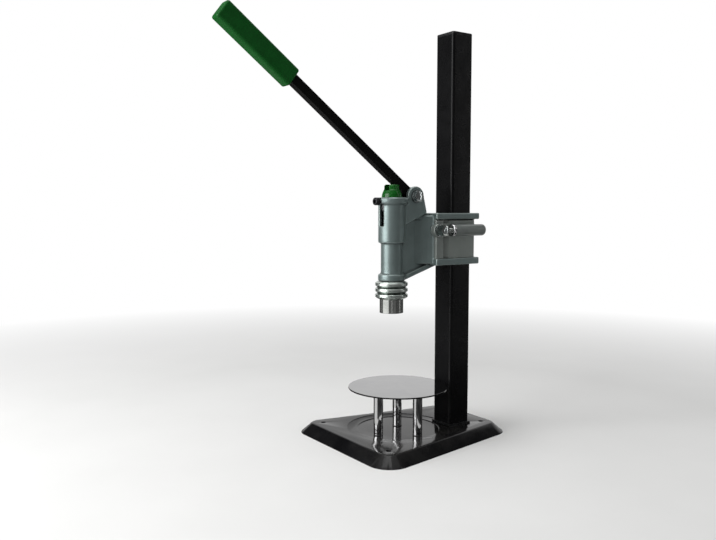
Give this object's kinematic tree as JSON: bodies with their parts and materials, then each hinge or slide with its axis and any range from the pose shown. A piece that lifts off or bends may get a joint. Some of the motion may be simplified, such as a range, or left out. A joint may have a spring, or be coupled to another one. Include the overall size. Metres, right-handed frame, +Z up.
{
  "type": "perfume bottle crimper",
  "caption": "Bench crimper for perfume bottles: pressed base, square column, sliding lever head with a collet crimp ram, and a loose three-legged bottle stand.",
  "frame": {"origin": "ram axis on the surface that the base stands on", "axes": "+Z up along the ram axis, -Y towards the operator and the lever, +Y towards the column, +X to the operator's right"},
  "size_m": [0.2158, 0.4148, 0.5472],
  "materials": {
    "base_black": "gloss",
    "column_black": "satin",
    "cap_plastic": "matte",
    "foot_steel": "satin",
    "zinc_steel": "satin",
    "head_cast": "matte",
    "jaw_cast": "matte",
    "tommy_zinc": "satin",
    "grey_plastic": "matte",
    "ring_chrome": "gloss",
    "lever_black": "matte",
    "grip_green": "satin",
    "bronze": "satin",
    "cap_green": "satin",
    "ram_steel": "satin",
    "black_screw": "matte",
    "spring_steel": "satin",
    "rib_aluminium": "satin",
    "sleeve_chrome": "gloss",
    "collet_steel": "satin",
    "stand_mirror": "gloss",
    "leg_steel": "gloss",
    "pad_rubber": "matte"
  },
  "bodies": {
    "frame": {"base_plate": "base_black", "column_tube": "column_black", "column_end_cap": "cap_plastic", "column_foot_plug": "foot_steel", "column_bolts": "zinc_steel", "column_washers": "zinc_steel", "stand_plate": "stand_mirror", "stand_leg_front": "leg_steel", "stand_leg_right": "leg_steel", "stand_leg_rear": "leg_steel", "stand_leg_pads": "pad_rubber"},
    "head": {"head_casting": "head_cast", "clamp_jaw": "jaw_cast", "clamp_screw": "zinc_steel", "clamp_washer": "zinc_steel", "pivot_bolt": "zinc_steel", "pivot_nut": "zinc_steel", "pivot_washers": "zinc_steel", "ram_bushes": "bronze", "spring_seat": "zinc_steel", "return_spring": "spring_steel"},
    "lever": {"lever_bar": "lever_black", "lever_grip": "grip_green", "pivot_bush": "bronze"},
    "ram": {"ram_cap": "cap_green", "ram_shaft": "ram_steel", "guide_screw": "black_screw", "crimp_body": "rib_aluminium", "crimp_sleeve": "sleeve_chrome", "collet_spring": "spring_steel"},
    "collet": {"crimp_collet": "collet_steel"},
    "clamp_lever": {"clamp_lever_nut": "tommy_zinc", "clamp_grip_ring": "ring_chrome", "clamp_grip": "grey_plastic"}
  },
  "joints": [
    {"name": "head_slide", "type": "slide", "parent": "frame", "child": "head", "axis": [0, 0, 1], "range_m": [-0.06, 0.2]},
    {"name": "lever_pivot", "type": "hinge", "parent": "head", "child": "lever", "pos_m": [0, 0.032, 0.3283], "axis": [1, 0, 0], "range_deg": [0, 31]},
    {"name": "ram_slide", "type": "slide", "parent": "head", "child": "ram", "axis": [0, 0, -1], "range_m": [0, 0.0153], "deforming": ["return_spring"]},
    {"name": "collet_slide", "type": "slide", "parent": "ram", "child": "collet", "axis": [0, 0, 1], "range_m": [0, 0.0024], "deforming": ["collet_spring"]},
    {"name": "clamp_turn", "type": "hinge", "parent": "head", "child": "clamp_lever", "pos_m": [0.0328, 0.06, 0.2835], "axis": [1, 0, 0], "range_deg": [0, 75]}
  ],
  "couplings": [
    {"joint": "ram_slide", "follows": "lever_pivot", "m_per_rad": 0.0281}
  ]
}
